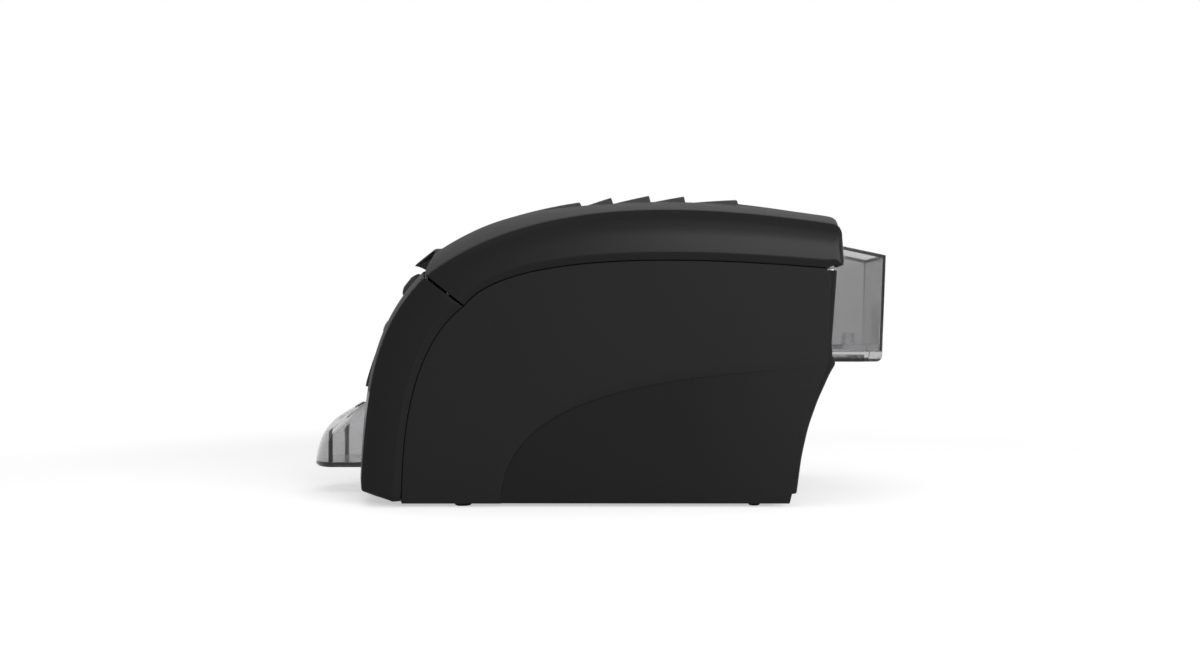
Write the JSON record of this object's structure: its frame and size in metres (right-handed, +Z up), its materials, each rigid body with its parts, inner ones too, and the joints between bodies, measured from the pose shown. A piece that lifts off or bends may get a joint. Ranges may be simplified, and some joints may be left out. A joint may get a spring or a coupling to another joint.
{
  "type": "card printer",
  "caption": "Desktop plastic-card printer with a rear-hinged hooped cover, louvred deck, smoked card hopper and output stacker.",
  "frame": {"origin": "middle of the whole outline at the level of the underside of the feet", "axes": "+Z up; the card outlet and front panel face -Y, the card hopper stands out to +Y; X runs across the machine"},
  "size_m": [0.22, 0.4706, 0.2436],
  "materials": {
    "shell_black": "fine-textured satin black moulded plastic",
    "side_black": "fine-textured dark grey-black moulded plastic",
    "panel_grey": "fine-textured mid grey moulded plastic",
    "inner_black": "plain black moulded plastic",
    "smoked_clear": "smoked transparent plastic",
    "foot_rubber": "matt black rubber",
    "steel": "zinc plated sheet steel",
    "bright_steel": "ground steel rod",
    "spring_steel": "drawn wire",
    "bronze": "sintered bronze",
    "roller_black": "ground black rubber",
    "roller_blue": "ground blue rubber",
    "roller_amber": "tacky amber rubber",
    "gear_white": "natural acetal",
    "belt_black": "black rubber timing belt",
    "motor_black": "black painted stepper motor",
    "brass": "turned brass",
    "film_dye": "wound dye film",
    "film_used": "wound used film",
    "hub_white": "off-white moulded plastic",
    "head_ceramic": "glazed ceramic on an aluminium heatsink",
    "carrier_grey": "dark grey coated steel",
    "board_green": "solder-masked circuit board",
    "chip_black": "moulded component bodies",
    "socket_black": "moulded socket",
    "socket_metal": "tinned shielding",
    "display_glass": "dark polished window",
    "key_grey": "moulded key",
    "weight_grey": "dark grey moulded plastic"
  },
  "bodies": {
    "printer_body": {"base_tray": "inner_black", "side_panel_left": "side_black", "side_panel_right": "side_black", "front_fascia": "shell_black", "front_panel": "panel_grey", "rear_cover": "side_black", "rubber_feet": "foot_rubber", "case_screws": "bright_steel", "stacker_bay": "inner_black", "hopper_well": "inner_black", "plate_left": "steel", "plate_right": "steel", "cross_ties": "bright_steel", "card_guide": "inner_black", "main_board": "board_green", "board_parts": "chip_black", "power_inlet": "socket_black", "data_ports": "socket_metal", "rear_port_plate": "inner_black", "button_guide": "inner_black", "display_module": "board_green", "display_lens": "display_glass", "hinge_brackets": "steel", "hinge_pins": "bright_steel", "drive_belt": "belt_black", "drive_motor": "motor_black", "shaft_bushes": "bronze", "spool_hubs": "hub_white", "release_spring": "spring_steel"},
    "cover": {"lid_shell": "shell_black", "lid_deck": "panel_grey", "lid_liner": "inner_black", "hinge_arms": "carrier_grey", "head_carrier": "carrier_grey", "head_pivot_pin": "bright_steel", "head_springs": "spring_steel"},
    "print_head": {"head_bracket": "steel", "print_head": "head_ceramic"},
    "platen_roller": {"platen_shaft": "bright_steel", "platen_sleeve": "roller_black", "platen_gear": "gear_white"},
    "feed_roller": {"feed_shaft": "bright_steel", "feed_sleeve": "roller_black"},
    "transport_roller": {"transport_shaft": "bright_steel", "transport_sleeve": "roller_blue"},
    "exit_roller": {"exit_shaft": "bright_steel", "exit_sleeve": "roller_blue"},
    "motor_rotor": {"motor_pinion": "brass"},
    "cleaning_roller": {"cleaning_roller": "roller_amber"},
    "transport_pinch": {"transport_pinch": "roller_black"},
    "exit_pinch": {"exit_pinch": "roller_black"},
    "supply_spool": {"supply_spool": "film_dye"},
    "takeup_spool": {"takeup_spool": "film_used"},
    "output_stacker": {"output_stacker": "smoked_clear"},
    "input_hopper": {"input_hopper": "smoked_clear"},
    "card_weight": {"card_weight": "weight_grey"},
    "release_button": {"release_button": "panel_grey"},
    "latch_lever": {"latch_lever": "steel"},
    "control_key_a": {"control_keys_a": "key_grey"},
    "control_key_b": {"control_keys_b": "key_grey"}
  },
  "joints": [
    {"name": "cover_hinge", "type": "hinge", "parent": "printer_body", "child": "cover", "pos_m": [0, 0.184, 0.178], "axis": [-1, 0, 0], "range_deg": [0, 41]},
    {"name": "head_pivot", "type": "hinge", "parent": "cover", "child": "print_head", "pos_m": [0, 0.013, 0.12496], "axis": [-1, 0, 0], "range_deg": [0, 3.5], "stiffness_Nm_per_rad": 1.3, "springref_deg": -3.44, "deforming": ["head_springs"]},
    {"name": "platen_spin", "type": "hinge", "parent": "printer_body", "child": "platen_roller", "pos_m": [0, 0, 0.08596], "axis": [1, 0, 0], "continuous": true},
    {"name": "feed_spin", "type": "hinge", "parent": "printer_body", "child": "feed_roller", "pos_m": [0, 0.165, 0.1058], "axis": [1, 0, 0], "continuous": true},
    {"name": "transport_spin", "type": "hinge", "parent": "printer_body", "child": "transport_roller", "pos_m": [0, 0.11, 0.10222], "axis": [1, 0, 0], "continuous": true},
    {"name": "exit_spin", "type": "hinge", "parent": "printer_body", "child": "exit_roller", "pos_m": [0, -0.104, 0.07253], "axis": [1, 0, 0], "continuous": true},
    {"name": "motor_spin", "type": "hinge", "parent": "printer_body", "child": "motor_rotor", "pos_m": [0, -0.00884, 0.06167], "axis": [1, 0, 0], "continuous": true},
    {"name": "transport_pinch_spin", "type": "hinge", "parent": "printer_body", "child": "transport_pinch", "pos_m": [0, 0.11, 0.11562], "axis": [1, 0, 0], "continuous": true},
    {"name": "exit_pinch_spin", "type": "hinge", "parent": "printer_body", "child": "exit_pinch", "pos_m": [0, -0.104, 0.08593], "axis": [1, 0, 0], "continuous": true},
    {"name": "cleaning_spin", "type": "hinge", "parent": "printer_body", "child": "cleaning_roller", "pos_m": [0, 0.129, 0.11826], "axis": [1, 0, 0], "continuous": true},
    {"name": "supply_spin", "type": "hinge", "parent": "printer_body", "child": "supply_spool", "pos_m": [0, 0.062, 0.15], "axis": [1, 0, 0], "continuous": true},
    {"name": "takeup_spin", "type": "hinge", "parent": "printer_body", "child": "takeup_spool", "pos_m": [0, -0.055, 0.143], "axis": [1, 0, 0], "continuous": true},
    {"name": "stacker_slide", "type": "slide", "parent": "printer_body", "child": "output_stacker", "axis": [0, -1, 0], "range_m": [0, 0.06]},
    {"name": "hopper_slide", "type": "slide", "parent": "printer_body", "child": "input_hopper", "axis": [0, 1, 0], "range_m": [0, 0.05]},
    {"name": "weight_lift", "type": "slide", "parent": "input_hopper", "child": "card_weight", "axis": [0, 0, 1], "range_m": [0, 0.066]},
    {"name": "release_push", "type": "slide", "parent": "printer_body", "child": "release_button", "axis": [0, 0.7861, -0.6181], "range_m": [0, 0.0025], "stiffness_N_per_m": 500, "springref_m": -0.002, "deforming": ["release_spring"]},
    {"name": "latch_swing", "type": "hinge", "parent": "printer_body", "child": "latch_lever", "pos_m": [0, -0.124, 0.15], "axis": [1, 0, 0], "range_deg": [0, 14]},
    {"name": "key_a_push", "type": "slide", "parent": "printer_body", "child": "control_key_a", "axis": [0, 0.9144, -0.4048], "range_m": [0, 0.0008], "stiffness_N_per_m": 900, "springref_m": -0.0008},
    {"name": "key_b_push", "type": "slide", "parent": "printer_body", "child": "control_key_b", "axis": [0, 0.9144, -0.4048], "range_m": [0, 0.0008], "stiffness_N_per_m": 900, "springref_m": -0.0008}
  ],
  "couplings": [
    {"joint": "feed_spin", "follows": "platen_spin", "ratio": 1},
    {"joint": "transport_spin", "follows": "platen_spin", "ratio": 1},
    {"joint": "exit_spin", "follows": "platen_spin", "ratio": 1},
    {"joint": "motor_spin", "follows": "platen_spin", "ratio": -3},
    {"joint": "transport_pinch_spin", "follows": "platen_spin", "ratio": -1.1667},
    {"joint": "exit_pinch_spin", "follows": "platen_spin", "ratio": -1.1667},
    {"joint": "cleaning_spin", "follows": "platen_spin", "ratio": -1.3333},
    {"joint": "latch_swing", "follows": "release_push", "rad_per_m": 95}
  ]
}
